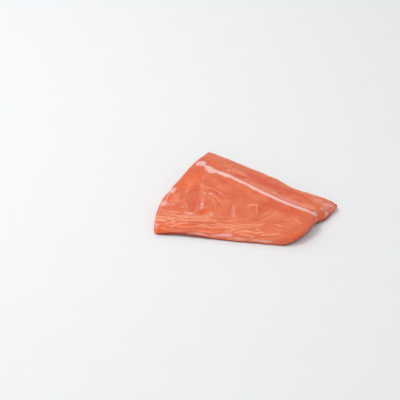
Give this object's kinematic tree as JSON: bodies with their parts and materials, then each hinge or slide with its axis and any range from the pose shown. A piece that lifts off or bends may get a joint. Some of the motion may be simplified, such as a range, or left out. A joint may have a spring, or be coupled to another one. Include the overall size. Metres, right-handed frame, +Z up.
{
  "type": "salmon fillet",
  "caption": "Raw fish fillet, a cross-cut piece from the tail half of one side: flesh face up with a pale midline, flaked grain and a thin belly edge, flat underside.",
  "frame": {"origin": "centre of the bounding box on the surface it lies on", "axes": "+X along the fish's midline from the head-side cut to the tail-side cut, +Y towards the back edge, -Y towards the belly edge, +Z up through the flesh face"},
  "size_m": [0.1492, 0.1324, 0.0222],
  "materials": {
    "flesh": "moist raw orange-pink fish flesh with soft gloss, pale connective lines and a near-white midline; thin grey skin underneath"
  },
  "bodies": {
    "root": {"fillet": "flesh"}
  },
  "joints": []
}
